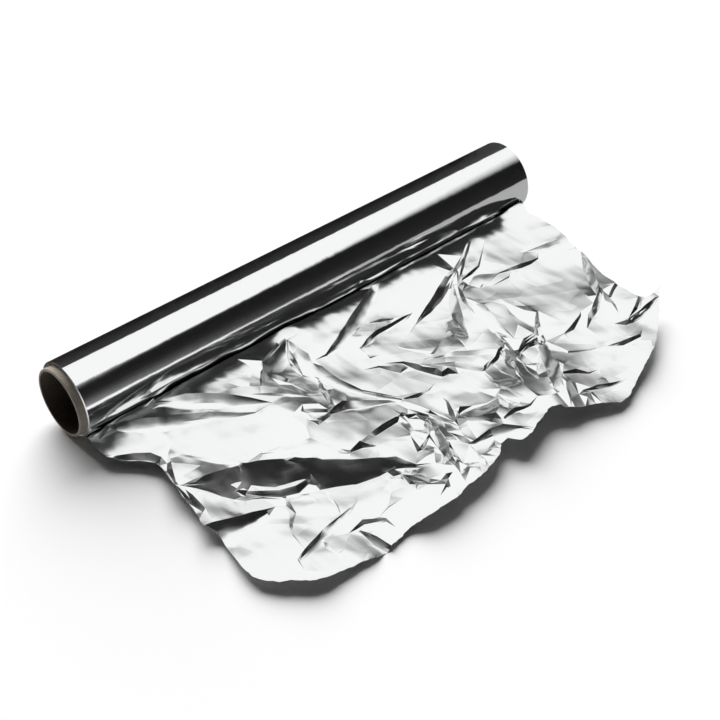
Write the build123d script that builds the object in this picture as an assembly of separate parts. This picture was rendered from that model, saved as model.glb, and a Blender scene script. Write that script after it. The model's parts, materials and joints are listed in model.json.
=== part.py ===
from build123d import *
import math
import os

# A roll of household aluminium foil lying on a table, with its last length pulled
# off and lying crumpled in front of it. A paperboard tube carries the wound turns.
# Frame: X along the tube, Z up, the loose foil towards -Y, the origin on the tube's
# axis at the middle of the foil's width. The table is at -wound_radius.
# All sizes are in millimetres. Reach is the distance from below the axis towards -Y.

# Paperboard core
core_bore_radius = 16.6
core_wall = 1.6
core_stub = 4.0          # the core stands out of the foil at the -X end
core_recess = 1.0        # and stops short of the foil's edge at the +X end

# Foil
foil_width = 300.0
wound_thickness = 2.1    # all the turns that are left on the core
turn_set_back = (0.3, 0.1, 0.4, 0.0)    # how far the edges of the turns stand back, from the core outwards
sheet_gauge = 0.5        # the loose foil, much thicker than the real metal
lead_length = 9.0        # flat strip under the roll, from below the axis to where the foil lifts
loose_reach = 173.0      # to the furthest point of the torn end
roll_clearance = 0.8     # the foil keeps to this share of the space under the roll

# Mesh of flat facets on the loose foil
columns = 56
rows = 34
crease_pull = 1.5        # points this close to the top or the foot of a fold lie on it

# Torn end: how far forward it lies, as shares of loose_reach at equal steps from the
# -X corner to the +X corner
torn_end = (0.76, 0.90, 0.93, 0.95, 0.95, 0.94, 0.94, 0.93, 0.91, 0.87, 0.90, 0.87, 0.95, 1.00, 0.97, 0.92,
            0.87, 0.80, 0.72)

# How far the two sides have drawn in, at equal steps from the roll to the torn end
left_draw = (0.0, 0.0, 0.0, 12.0, 12.0, 11.0, 8.0, 9.0, 5.0)
right_draw = (0.0, 5.0, 5.0, 7.0, 10.0, 15.0, 20.0, 22.0, 6.0)

# How high the crumpled foil stands off the table apart from its folds: each row runs from
# the -X side to the +X side, and the rows from the roll to the torn end
standing = (
    (2, 11, 11, 10, 9, 9, 7),
    (6, 8, 7, 5, 6, 7, 7),
    (12, 9, 6, 4, 7, 5, 9),
    (13, 12, 11, 8, 8, 5, 11),
    (13, 9, 13, 15, 5, 4, 6),
)
standing_start = 17.0    # reach of the first row

# Folds, each a step down towards the torn end and the -X side: the middle line of its slope as
# (share of the half width, share of loose_reach), its drop, and the width of its slope
step_down_way = (-0.66, 0.75)
folds = (
    # The long fold across the left half, and the smaller fold in front of it
    (((-0.92, 0.42), (-0.78, 0.49), (-0.58, 0.58), (-0.45, 0.68), (-0.30, 0.76)), 15, 12),
    (((-0.95, 0.62), (-0.87, 0.64), (-0.76, 0.65)), 6, 6),
    # The turned lip of the left side, the corner below it, and the strip from there to the next corner
    (((-1.00, 0.22), (-0.96, 0.26), (-0.91, 0.31)), 4, 4),
    (((-0.87, 0.33), (-0.90, 0.37), (-0.92, 0.42)), 4, 4),
    (((-0.92, 0.44), (-0.91, 0.54)), 4, 4),
    # Two soft waves that fan out from the roll's left end
    (((-0.70, 0.20), (-0.60, 0.27), (-0.47, 0.35)), 3, 5),
    (((-0.89, 0.17), (-0.66, 0.28), (-0.56, 0.32)), 3, 5),
    # Small folds of the front flap
    (((-0.58, 0.80), (-0.74, 0.82), (-0.83, 0.84)), 3, 4),
    (((-0.64, 0.86), (-0.58, 0.86), (-0.52, 0.89)), 3, 4),
    (((-0.60, 0.87), (-0.58, 0.97)), 4, 4),
    # The pyramid beside the roll's middle, and the arc that runs down from it
    (((-0.24, 0.18), (-0.33, 0.22), (-0.41, 0.28)), 5, 6),
    (((-0.24, 0.18), (-0.30, 0.30)), 3, 4),
    (((-0.26, 0.23), (-0.28, 0.30), (-0.27, 0.39), (-0.25, 0.46), (-0.12, 0.57)), 4, 5),
    (((-0.36, 0.47), (-0.29, 0.47), (-0.16, 0.55)), 3, 4),
    # The fork in the middle
    (((-0.42, 0.64), (-0.35, 0.63), (-0.25, 0.62), (-0.14, 0.63)), 3, 4),
    (((-0.12, 0.63), (-0.11, 0.67), (-0.16, 0.78), (-0.18, 0.84)), 5, 4),
    (((-0.14, 0.69), (-0.23, 0.74)), 3, 4),
    (((-0.35, 0.78), (-0.31, 0.86)), 4, 4),
    # The ridge that runs down from the roll's right half, and its branches
    (((0.63, 0.17), (0.51, 0.24), (0.44, 0.28)), 3, 4),
    (((0.46, 0.24), (0.36, 0.27), (0.18, 0.34)), 4, 5),
    (((0.42, 0.29), (0.39, 0.33), (0.34, 0.40), (0.27, 0.50)), 4, 4),
    (((0.40, 0.39), (0.41, 0.43), (0.38, 0.54), (0.37, 0.60)), 4, 4),
    (((0.07, 0.51), (0.14, 0.55), (0.20, 0.62)), 2, 4),
    # The two steep ridges of the right half
    (((0.36, 0.54), (0.33, 0.63), (0.29, 0.73)), 4, 4),
    (((0.20, 0.62), (0.32, 0.59)), 3, 4),
    (((0.47, 0.48), (0.49, 0.54), (0.51, 0.58)), 6, 7),
    (((0.52, 0.57), (0.44, 0.67)), 3, 4),
    (((0.33, 0.64), (0.43, 0.62)), 4, 4),
    (((0.43, 0.65), (0.42, 0.68), (0.37, 0.78), (0.31, 0.84), (0.26, 0.92)), 6, 5),
    # The crease behind the right flap, and the small folds by the right side
    (((0.92, 0.44), (0.86, 0.52), (0.79, 0.61), (0.71, 0.65), (0.60, 0.70)), 4, 4),
    (((0.74, 0.32), (0.94, 0.36)), 3, 4),
    (((0.89, 0.76), (0.83, 0.76), (0.74, 0.78)), 3, 4),
    # The crushed part by the torn end
    (((-0.02, 0.74), (0.05, 0.81)), 4, 4),
    (((0.14, 0.73), (0.17, 0.80)), 5, 5),
    (((-0.08, 0.83), (0.00, 0.82), (0.08, 0.87)), 5, 5),
)

# Fine crumple over the whole loose foil: crossed pleats as (direction in degrees, pitch)
crumple_height = 1.2
crumple_pleats = ((20.0, 21.0), (105.0, 26.0), (62.0, 17.0), (150.0, 23.0))

# Sizes that follow
core_radius = core_bore_radius + core_wall
wound_radius = core_radius + wound_thickness
half_width = foil_width / 2
core_length = core_stub + foil_width - core_recess
axis_along_x = Plane.YZ


def along(values, share):
    """The value at a share of 0 to 1 along evenly spaced values, eased from one to the next."""
    place = min(max(share, 0.0), 1.0) * (len(values) - 1)
    step = min(int(place), len(values) - 2)
    ease = (1 - math.cos(math.pi * (place - step))) / 2
    return values[step] + (values[step + 1] - values[step]) * ease


def core_tube():
    """The paperboard tube, open from end to end."""
    ring = Circle(core_radius) - Circle(core_bore_radius)
    return extrude(axis_along_x.offset(-half_width - core_stub) * ring, core_length)


def wound_turns():
    """The turns left on the core. Their edges step in and out at both ends; the outer turn is full width."""
    step = wound_thickness / len(turn_set_back)
    right_end = []
    for group, back in enumerate(turn_set_back):
        inner = core_radius + group * step
        right_end.append((half_width - back, inner))
        right_end.append((half_width - back, inner + step))
    left_end = [(-x, r) for x, r in reversed(right_end)]
    section = make_face(Polyline(*right_end, *left_end, close=True))
    return revolve(section, Axis.X, 360)


def lead_strip():
    """The flat strip under the roll, where the outer turn leaves it and becomes the loose foil."""
    strip = Box(foil_width, lead_length, sheet_gauge, align=(Align.CENTER, Align.MAX, Align.MIN))
    return Pos(0, 0, -wound_radius) * strip


def fold_segments(line):
    """The straight pieces of a fold's middle line, as (x, reach) at both ends."""
    points = [(u * half_width, v * loose_reach) for u, v in line]
    return list(zip(points, points[1:]))


def fold_ends(line):
    """The two ends of a fold's middle line, as (x, reach)."""
    segments = fold_segments(line)
    return segments[0][0], segments[-1][1]


def nearest_on(segment, x, reach):
    """The point of a segment that is nearest to a point of the table."""
    (x0, r0), (x1, r1) = segment
    run_x, run_r = x1 - x0, r1 - r0
    share = ((x - x0) * run_x + (reach - r0) * run_r) / (run_x ** 2 + run_r ** 2)
    share = min(max(share, 0.0), 1.0)
    return x0 + share * run_x, r0 + share * run_r


def gap_to(line, x, reach):
    """Distance to a fold's middle line, and the nearest point of it."""
    return min((math.dist((x, reach), near), near)
               for near in (nearest_on(each, x, reach) for each in fold_segments(line)))


def fold_step(line, drop, width, x, reach):
    """How much one fold raises or lowers a point: the drop, times the angle under which the point
    sees the fold as a share of a full turn. Across the fold's own width the step is an even slope."""
    seen = 0.0
    for (x0, r0), (x1, r1) in fold_segments(line):
        ax, ar = x0 - x, r0 - reach
        bx, br = x1 - x, r1 - reach
        seen += math.atan2(ax * br - ar * bx, ax * bx + ar * br)
    (x0, r0), (x1, r1) = fold_ends(line)
    listed_way = math.copysign(1, (r1 - r0) * step_down_way[0] - (x1 - x0) * step_down_way[1])
    slope = min(1.0, 2 * gap_to(line, x, reach)[0] / width)
    return listed_way * drop * slope * seen / math.tau


def pleat(x, reach, degrees, pitch):
    """A zigzag wave of 0 to 1 across the sheet in one direction."""
    turn = math.radians(degrees)
    phase = (x * math.cos(turn) + reach * math.sin(turn)) / pitch
    return abs(2 * (phase - math.floor(phase)) - 1)


def crumple(x, reach):
    """Fine pyramids where pleats of two directions cross."""
    first, second, third, fourth = (pleat(x, reach, *each) for each in crumple_pleats)
    return crumple_height * (first * second + third * fourth)


def standing_height(x, reach):
    """The foil's height off the table apart from its folds."""
    across = [along(row, (x + half_width) / foil_width) for row in standing]
    return along(across, (reach - standing_start) / (loose_reach - standing_start))


def under_roll(reach):
    """The space left for the foil between the table and the roll's underside."""
    if reach >= wound_radius:
        return 2 * wound_radius
    rise = wound_radius - math.sqrt(wound_radius ** 2 - reach ** 2)
    return max(0.0, roll_clearance * rise - sheet_gauge)


def sheet_height(x, reach):
    """Height of the loose foil's underside above the table."""
    height = standing_height(x, reach) + crumple(x, reach)
    height += sum(fold_step(*fold, x, reach) for fold in folds)
    start = min(1.0, (reach - lead_length) / lead_length)
    return min(max(height, 0.0) * start, under_roll(reach))


def drawn_to_fold(x, reach):
    """A point of the table, moved square to the nearest fold onto its top or its foot where one of
    them is close. Points past the fold's ends stay."""
    gap, near, width, ends = min((*gap_to(line, x, reach), width, fold_ends(line))
                                 for line, _, width in folds)
    if near in ends or abs(gap - width / 2) > crease_pull:
        return x, reach
    moved = width / 2 / gap
    return near[0] + (x - near[0]) * moved, near[1] + (reach - near[1]) * moved


def sheet_point(column, row):
    """A point of the loose foil's underside: its place on the table and its height above it."""
    across = column / columns
    forward = row / rows
    left_edge = -half_width + along(left_draw, forward)
    right_edge = half_width - along(right_draw, forward)
    x = left_edge + (right_edge - left_edge) * across
    reach = lead_length + (loose_reach * along(torn_end, across) - lead_length) * forward
    if 1 < column < columns - 1 and 1 < row < rows - 1:
        x, reach = drawn_to_fold(x, reach)
    return Vector(x, -reach, sheet_height(x, reach) - wound_radius)


def loose_foil():
    """The crumpled length: flat facets between a grid of points, closed by its torn rim."""
    under = [[sheet_point(i, j) for i in range(columns + 1)] for j in range(rows + 1)]
    rise = Vector(0, 0, sheet_gauge)
    faces = []
    for j in range(rows):
        for i in range(columns):
            a, b = under[j][i], under[j][i + 1]
            c, d = under[j + 1][i + 1], under[j + 1][i]
            if abs(a.Z - c.Z) < abs(b.Z - d.Z):
                halves = ((a, b, c), (a, c, d))
            else:
                halves = ((a, b, d), (b, c, d))
            for p, q, r in halves:
                faces.append(Face(Wire.make_polygon((p, q, r))))
                faces.append(Face(Wire.make_polygon((p + rise, r + rise, q + rise))))
    rim = under[0] + [line[-1] for line in under[1:]]
    rim += under[-1][-2::-1] + [line[0] for line in under[-2:0:-1]]
    for p, q in zip(rim, rim[1:] + rim[:1]):
        faces.append(Face(Wire.make_polygon((p, q, q + rise, p + rise))))
    return Solid(Shell(faces))


def foil():
    """The whole strip as one solid: wound turns, lead strip and loose length."""
    return wound_turns() + lead_strip() + loose_foil()


os.makedirs("parts", exist_ok=True)
export_step(core_tube(), "parts/core_tube.step")
export_step(foil(), "parts/foil.step")
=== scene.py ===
"""A roll of household aluminium foil with its last length lying crumpled in front of it."""
import json
import math
from itertools import chain

import bpy
import numpy as np
from mathutils import Matrix, Vector
from mathutils.geometry import delaunay_2d_cdt


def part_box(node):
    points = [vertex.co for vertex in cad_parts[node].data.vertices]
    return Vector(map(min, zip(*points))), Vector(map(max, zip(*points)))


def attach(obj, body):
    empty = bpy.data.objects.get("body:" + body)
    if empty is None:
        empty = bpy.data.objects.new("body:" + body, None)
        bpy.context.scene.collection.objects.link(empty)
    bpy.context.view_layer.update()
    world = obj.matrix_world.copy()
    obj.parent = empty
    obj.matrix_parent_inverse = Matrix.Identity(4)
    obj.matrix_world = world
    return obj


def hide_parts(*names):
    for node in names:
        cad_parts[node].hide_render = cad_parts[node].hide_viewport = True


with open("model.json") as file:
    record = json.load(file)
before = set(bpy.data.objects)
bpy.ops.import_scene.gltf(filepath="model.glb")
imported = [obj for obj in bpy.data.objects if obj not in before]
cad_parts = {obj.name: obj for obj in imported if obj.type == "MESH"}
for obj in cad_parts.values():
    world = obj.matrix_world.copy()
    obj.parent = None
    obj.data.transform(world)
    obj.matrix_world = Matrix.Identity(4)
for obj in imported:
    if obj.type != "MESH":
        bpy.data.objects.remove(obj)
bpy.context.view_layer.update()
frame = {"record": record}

bl_info = {
    "name": "Aluminium foil roll",
    "version": (1, 0, 0),
    "blender": (4, 5, 0),
    "location": "View3D > Sidebar > Foil roll",
    "description": "Builds a roll of kitchen foil on its paperboard core, with a crumpled loose length",
    "category": "Add Mesh",
}

MM = 0.001
FOIL_LOW, FOIL_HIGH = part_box("foil")
CORE_LOW, CORE_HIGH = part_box("core_tube")
BORE_MOUNT = next(m for m in frame["record"]["mounts"] if m["name"] == "core_bore")

# The camera of the photograph, solved from the roll's two ends and its sides
PHOTO_SIDE = 720
CAMERA_AZIMUTH = math.radians(-41.12)
CAMERA_ELEVATION = math.radians(39.97)
CAMERA_DISTANCE = 0.770
CAMERA_AIM = np.array((-0.0303, -0.0800, 0.0096))
FOCAL_PIXELS = 1568.1
SENSOR_MM = 36.0


def linear(code):
    """A colour written as sRGB hex, as the linear red, green and blue that Blender works in."""
    channels = np.array([int(code[i:i + 2], 16) for i in (1, 3, 5)]) / 255
    curve = np.where(channels <= 0.04045, channels / 12.92, ((channels + 0.055) / 1.055) ** 2.4)
    return tuple(float(c) for c in curve)


def camera_axes():
    """The camera's place, and its right, up and forward directions, from azimuth, elevation and distance."""
    back = np.array((
        math.sin(CAMERA_AZIMUTH) * math.cos(CAMERA_ELEVATION),
        -math.cos(CAMERA_AZIMUTH) * math.cos(CAMERA_ELEVATION),
        math.sin(CAMERA_ELEVATION),
    ))
    right = np.cross(-back, (0, 0, 1))
    right /= np.linalg.norm(right)
    return CAMERA_AIM + CAMERA_DISTANCE * back, right, np.cross(right, -back), -back


class FoilRollSizes(bpy.types.PropertyGroup):
    """Sizes of the roll and of its loose length."""

    wound_radius: bpy.props.FloatProperty(
        name="Wound radius", description="Outside of the last turn on the core",
        default=-FOIL_LOW.z, subtype="DISTANCE", unit="LENGTH")
    core_radius: bpy.props.FloatProperty(
        name="Core radius", description="Outside of the paperboard tube",
        default=CORE_HIGH.z, subtype="DISTANCE", unit="LENGTH")
    bore_radius: bpy.props.FloatProperty(
        name="Bore radius", description="Inside of the paperboard tube",
        default=BORE_MOUNT["dims"]["r_mm"] * MM, subtype="DISTANCE", unit="LENGTH")
    half_width: bpy.props.FloatProperty(
        name="Half width", description="Half of the foil's width",
        default=FOIL_HIGH.x, subtype="DISTANCE", unit="LENGTH")
    gauge: bpy.props.FloatProperty(
        name="Sheet thickness",
        description="Thickness of the loose sheet, thicker than real foil so that it is a solid",
        default=0.08 * MM, subtype="DISTANCE", unit="LENGTH")


class FoilRollColours(bpy.types.PropertyGroup):
    """Colours of the two real materials, of the core's liner with painted shade, and of the stage."""

    foil: bpy.props.FloatVectorProperty(
        name="Foil", description="Bare aluminium", subtype="COLOR", size=3, default=linear("#f5f6f6"))
    board: bpy.props.FloatVectorProperty(
        name="Paperboard", description="Grey recycled paperboard of the core", subtype="COLOR", size=3,
        default=linear("#989084"))
    # The liner's colour is partly kraft paper's own brown and partly painted shade: it is darkened for the
    # shade deep inside the bore.
    liner_with_painted_shade: bpy.props.FloatVectorProperty(
        name="Core liner", description="Brown kraft paper inside the core", subtype="COLOR", size=3,
        default=linear("#4a4036"))
    floor: bpy.props.FloatVectorProperty(
        name="Floor", description="Pale table top", subtype="COLOR", size=3, default=linear("#f6f6f6"))
    surround: bpy.props.FloatVectorProperty(
        name="Surround", description="Dark walls of the studio", subtype="COLOR", size=3,
        default=linear("#252525"))
    standing_card: bpy.props.FloatVectorProperty(
        name="Standing card", description="Card behind the roll, mirrored along its top", subtype="COLOR",
        size=3, default=linear("#686868"))
    lying_card: bpy.props.FloatVectorProperty(
        name="Lying card", description="Card on the table, mirrored in the roll's right end", subtype="COLOR",
        size=3, default=linear("#a8a8a8"))


# The loose sheet's outline, read from the photograph as pixels, from the roll to the torn end and along it
LEFT_EDGE = ((85, 437), (95, 447), (107, 457), (118, 459), (140, 458), (156, 462), (163, 469), (172, 482),
             (182, 495), (192, 507), (198, 516), (202, 525), (214, 526), (219, 533), (225, 545), (230, 552),
             (242, 567))
TORN_EDGE = ((242, 567), (252, 576), (262, 580), (280, 582), (292, 580), (312, 581), (327, 577), (345, 570),
             (362, 562), (380, 556), (391, 549), (397, 541), (410, 527), (430, 515), (445, 505), (460, 495),
             (467, 486), (482, 475), (492, 464), (501, 452), (501, 444), (507, 438), (522, 440), (532, 432),
             (540, 420), (550, 407), (560, 404), (565, 407), (577, 407), (592, 404), (622, 402), (630, 395),
             (637, 380), (645, 365), (655, 346), (659, 320), (660, 284))
RIGHT_EDGE = ((517, 209), (527, 212), (538, 217), (555, 227), (565, 236), (570, 241), (583, 252), (593, 265),
              (603, 275), (615, 282), (627, 290), (637, 296), (647, 297), (655, 292), (660, 284))

# How high the sheet stands off the table, in millimetres, at a few pixels
STANDING = ((97, 449, 4), (117, 461, 7), (120, 427, 9), (150, 440, 10), (155, 465, 9), (182, 495, 11),
            (202, 525, 10), (225, 545, 10), (262, 580, 10), (312, 581, 11), (340, 555, 10), (362, 562, 8),
            (397, 541, 5), (445, 505, 11), (492, 464, 11), (522, 440, 13), (550, 407, 12), (592, 404, 6),
            (630, 395, 4), (655, 346, 7), (660, 284, 15), (637, 296, 10), (603, 275, 9), (570, 241, 12),
            (538, 217, 12), (200, 430, 12), (280, 430, 12), (250, 540, 11), (285, 555, 12), (330, 520, 8),
            (380, 500, 8), (350, 380, 7), (430, 350, 7), (440, 400, 7), (500, 270, 10), (540, 290, 7),
            (590, 340, 7), (330, 340, 9), (420, 290, 9), (480, 240, 10), (230, 390, 12), (290, 360, 10),
            (240, 480, 9), (310, 475, 9))

# How much higher it bulges beside the roll, in millimetres, at equal steps from the grid's left to its right
ROLL_BULGE_MM = (3.0, 2.0, 0.0, -1.0, 0.0, 2.2, 1.3, 1.3, 2.4, 1.4, 1.0, 3.5, 4.0)

# Facets that drop towards the camera. Each has its slope in degrees (with a minus for one that eases out
# softly at its foot), the slope behind its crest (0 for none), and its crest's points: pixel, and the
# facet's height there in pixels.
FACETS = (
    # The long fold across the left half, the ledge on it, and the fold in front of it
    (51, 0, ((184, 484, 1), (204, 477, 14), (226, 469, 32), (238, 466, 30), (247, 464, 20), (270, 460, 25),
             (295, 457, 20), (312, 458, 18), (322, 459, 27), (352, 460, 21))),
    (51, 0, ((352, 460, 21), (377, 458, 15), (396, 457, 9), (416, 464, 2))),
    (46, 0, ((237, 487, 14), (246, 491, 10), (262, 491, 6), (280, 490, 7), (296, 486, 8), (306, 482, 3))),
    (-44, 0, ((212, 523, 26), (238, 517, 20), (266, 509, 6))),
    # The left edge: the turned lip, the folded corner and the strip below it
    (56, 0, ((116, 456, 2), (134, 453, 5), (150, 453, 6), (161, 457, 6))),
    (54, 0, ((169, 452, 1), (172, 466, 6), (176, 482, 1))),
    (54, 0, ((179, 485, 2), (192, 494, 8), (205, 508, 4))),
    # Waves that fan out from the roll's left end
    (-40, 0, ((160, 401, 6), (186, 397, 17), (225, 396, 14), (250, 398, 8), (272, 402, 0))),
    (-38, 0, ((116, 424, 5), (140, 420, 13), (165, 417, 14), (210, 412, 10), (255, 412, 1))),
    (46, 0, ((251, 394, 0), (270, 394, 2), (289, 394, 2))),
    (34, 0, ((180, 454, 1), (212, 460, 2), (241, 464, 2))),
    (25, 0, ((262, 453, 0), (285, 445, 7), (310, 438, 14), (332, 446, 8), (350, 453, 0))),
    # Small folds of the front flap
    (48, 0, ((286, 497, 1), (290, 503, 4), (296, 513, 0))),
    (-31, 0, ((350, 508, 2), (331, 522, 8), (316, 536, 9), (305, 549, 5), (298, 560, 0))),
    (-36, 0, ((348, 532, 1), (362, 520, 8), (386, 519, 1))),
    (55, 0, ((361, 530, 1), (377, 537, 8), (394, 547, 7))),
    (50, 30, ((402, 474, 1), (413, 477, 8), (430, 480, 4))),
    (28, 0, ((328, 491, 1), (333, 499, 2), (338, 506, 0))),
    (30, 0, ((324, 539, 1), (330, 546, 3), (336, 553, 0))),
    (28, 0, ((388, 507, 0), (402, 499, 3), (416, 489, 1))),
    (26, 0, ((305, 570, 0), (316, 571, 2), (327, 571, 0))),
    (30, 0, ((292, 514, 1), (293, 525, 2), (293, 535, 0))),
    # The fork in the middle
    (50, 0, ((350, 451, 1), (360, 442, 6), (372, 445, 1))),
    (52, 0, ((361, 440, 2), (382, 425, 5), (402, 412, 4))),
    (42, 0, ((400, 413, 2), (408, 414, 8), (416, 413, 4))),
    (50, 30, ((417, 411, 3), (429, 415, 7), (446, 440, 10), (453, 456, 6))),
    (52, 0, ((426, 423, 2), (430, 432, 6), (420, 447, 3))),
    # The pyramid beside the roll's middle, the arc under it, and the short ridges below
    (48, 0, ((277, 343, 3), (262, 361, 5), (263, 381, 3))),
    (-33, 0, ((285, 340, 2), (277, 350, 14), (266, 362, 15))),
    (46, 0, ((288, 341, 1), (292, 352, 6), (298, 364, 7), (303, 375, 1))),
    (-38, 0, ((291, 342, 3), (308, 354, 13), (322, 366, 15), (340, 380, 11), (362, 390, 7), (402, 398, 1))),
    (-36, 0, ((370, 289, 8), (354, 311, 13), (340, 332, 9), (326, 354, 1))),
    (44, 0, ((272, 377, 1), (281, 381, 4), (292, 384, 0))),
    (45, 0, ((319, 378, 0), (325, 388, 6), (333, 401, 3))),
    (48, 0, ((304, 409, 1), (314, 409, 4), (327, 409, 2))),
    (42, 0, ((328, 411, 3), (343, 402, 8), (365, 400, 6), (390, 400, 1))),
    (48, 0, ((311, 418, 2), (318, 421, 4), (328, 414, 2))),
    # Creases between the middle and the right half
    (-36, 0, ((360, 348, 0), (367, 339, 5), (376, 331, 5), (402, 317, 3), (412, 313, 0))),
    (44, 0, ((368, 323, 0), (380, 319, 3), (394, 318, 0))),
    (54, 0, ((379, 366, 1), (392, 366, 5), (402, 369, 4))),
    (54, 0, ((403, 362, 2), (418, 364, 5), (436, 368, 6), (442, 372, 4), (448, 368, 5), (458, 374, 0))),
    (36, 0, ((399, 347, 0), (416, 349, 3), (431, 352, 1))),
    (44, 0, ((447, 322, 1), (449, 331, 3), (466, 345, 1))),
    (38, 0, ((432, 358, 0), (455, 351, 4), (491, 349, 4))),
    (36, 0, ((430, 364, 0), (455, 361, 5), (484, 366, 4))),
    (44, 0, ((405, 398, 0), (417, 394, 3), (429, 390, 0))),
    # The ridge that runs down from the roll's right half, with its branches
    (38, 0, ((450, 271, 9), (437, 289, 9), (426, 307, 5), (415, 325, 0))),
    (44, 44, ((468, 240, 3), (459, 263, 6), (455, 282, 5))),
    (52, 0, ((454, 284, 3), (457, 296, 12), (462, 312, 12), (469, 337, 0))),
    (48, 0, ((459, 286, 1), (465, 298, 4), (472, 311, 0))),
    (50, 0, ((462, 279, 2), (470, 272, 6), (478, 265, 2))),
    (40, 0, ((482, 284, 1), (490, 282, 4), (509, 276, 0))),
    (-35, 0, ((470, 300, 2), (484, 305, 12), (502, 325, 11), (514, 338, 0))),
    (52, 0, ((497, 333, 1), (514, 350, 6), (530, 372, 3))),
    (52, 20, ((502, 346, 3), (513, 360, 8), (523, 377, 4))),
    (52, 0, ((484, 368, 2), (494, 354, 6), (502, 345, 4))),
    (48, 0, ((495, 365, 1), (505, 368, 4), (516, 374, 2))),
    (-35, 0, ((506, 303, 2), (514, 306, 9), (526, 308, 16), (538, 312, 18))),
    (52, 0, ((538, 311, 2), (540, 326, 6), (546, 342, 4))),
    (44, 0, ((518, 350, 3), (523, 339, 8), (534, 333, 10))),
    (46, 0, ((537, 338, 3), (546, 345, 8), (559, 362, 14), (562, 378, 14), (572, 400, 8))),
    (42, 0, ((537, 337, 1), (552, 345, 3), (568, 351, 2), (590, 350, 0))),
    # Near the right edge
    (-28, 0, ((524, 252, 0), (547, 243, 9), (570, 237, 12))),
    (28, 0, ((498, 273, 0), (520, 264, 3), (538, 258, 0))),
    (52, 0, ((584, 252, 3), (591, 267, 9), (599, 286, 8))),
    (52, 0, ((599, 287, 6), (594, 303, 8), (588, 314, 5), (587, 328, 0))),
    (48, 0, ((600, 287, 1), (609, 296, 3), (615, 305, 0))),
    (48, 0, ((615, 283, 3), (609, 295, 2))),
    (-30, 0, ((564, 334, 0), (571, 326, 7), (579, 315, 2))),
    (-33, 0, ((655, 297, 2), (645, 305, 10), (631, 318, 2))),
    (38, 0, ((638, 297, 4), (634, 306, 7), (628, 318, 0))),
    (-32, 0, ((606, 346, 0), (621, 342, 5), (639, 334, 5))),
    (40, 0, ((614, 324, 0), (624, 321, 3), (633, 318, 1))),
    (-32, 0, ((583, 390, 1), (598, 385, 5), (622, 381, 0))),
    (36, 0, ((562, 372, 1), (576, 369, 4), (589, 372, 1))),
    (40, 0, ((444, 338, 0), (438, 346, 2), (432, 353, 1))),
    (34, 0, ((485, 372, 1), (493, 379, 2), (502, 386, 1))),
    (44, 0, ((430, 411, 1), (443, 415, 2), (456, 418, 2))),
    (34, 0, ((402, 400, 4), (420, 406, 6), (440, 416, 5), (452, 422, 1))),
    # The crushed part by the torn end
    (50, 0, ((448, 401, 1), (453, 411, 5), (456, 418, 3))),
    (46, 0, ((457, 413, 2), (460, 407, 4), (487, 403, 1))),
    (50, 0, ((468, 418, 2), (482, 415, 7), (496, 413, 8), (501, 419, 4))),
    (46, 0, ((500, 390, 4), (508, 388, 11), (524, 396, 8))),
    (44, 0, ((503, 417, 2), (515, 408, 3), (530, 404, 1))),
    (42, 0, ((474, 441, 2), (490, 429, 9), (504, 423, 12), (521, 426, 3))),
    (50, 0, ((457, 434, 2), (465, 437, 5), (471, 442, 1))),
    (46, 0, ((480, 455, 1), (485, 459, 4), (488, 464, 1))),
)

# Crushed places: pixel, radius, and how far their fine creases stray up or down, both in millimetres
CRUSHED = ((440, 430, 14, 1.9), (430, 470, 14, 1.6), (470, 450, 12, 1.8), (568, 388, 10, 1.8),
           (500, 405, 12, 1.4), (310, 415, 8, 1.0), (285, 488, 12, 0.9), (590, 300, 4, 0.7),
           (640, 310, 10, 0.6), (370, 365, 8, 0.5), (525, 365, 8, 1.2), (465, 275, 8, 1.0),
           (600, 370, 10, 0.4), (400, 480, 8, 0.8))
# Calm places, with few and shallow creases: pixel, and radius in millimetres
CALM = ((532, 262, 34), (612, 345, 22), (205, 436, 50), (285, 548, 30), (400, 300, 26))

# The sheet's standing height: how far each read place spreads, where the sheet leaves the table under the
# roll, where it bulges beside the roll, and how much of the room under the roll it may fill
STANDING_SPREAD = 9 * MM
LIFT_OFF = (2 * MM, 16 * MM)
BULGE_REACH, BULGE_WIDTH = 19 * MM, 14 * MM
ROOM_SHARE = 0.9

# Facets: what the eye loses of each at its edges, as pixels and as a share, how much more it slopes at its
# crest than on average, firm or soft, how far it may splay at a sharp bend, the widths past which it has one
# or three lines between crest and foot, how far clear of it the heights of its crest and foot are read, and
# the reaches between which facets grow from nothing
FACET_TRIM, FACET_SPREAD = 1, 1.2
HOLLOW, HOLLOW_SOFT = 0.2, 0.8
BEND_LEAST = 0.3
WIDE, WIDEST = 2.5 * MM, 4.5 * MM
CLEAR = 0.7 * MM
FACETS_FROM = (0.010, 0.020)

# Points where creases meet: the start of their random draws
SEED = 8
# On facets: their spacing, and how far they stray sideways and up or down
CREASE_STEP = 6.0 * MM
CREASE_WANDER = 0.3 * MM
CREASE_STRAY = 0.2 * MM
# On plates: the cell that holds one, its margin as a share, the stray, and what calm places keep of both
PLATE = 11.0 * MM
PLATE_INSET = 0.05
PLATE_STRAY = 0.45 * MM
CALM_SHARE, CALM_STRAY = 0.3, 0.4
# In crushed places: their spacing, how densely they lie, and how far past the radius
CRUSH = 3.6 * MM
CRUSH_FILL, CRUSH_REACH = 2.2, 1.2
# Beside the roll: distances along it and reaches, and the reaches between which points begin to stray
ROLL_COLUMNS = np.arange(-0.147, 0.148, 7 * MM)
ROLL_ROWS = (0.004, 0.008, 0.012, 0.016, 0.019, 0.022)
STRAY_FROM = (0.012, 0.030)
# How near a plate's point may lie to a facet's or the rim's, and how near two points are one, in metres
CREASE_GAP = 2.0 * MM
MERGE = 1e-6

# The rim: spacing of its points under the roll, at the sides and along the torn end, and the size of the
# tear's teeth
START_STEP, EDGE_STEP, TORN_STEP = 8 * MM, 3 * MM, 1.6 * MM
TEETH = 0.3 * MM

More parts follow.
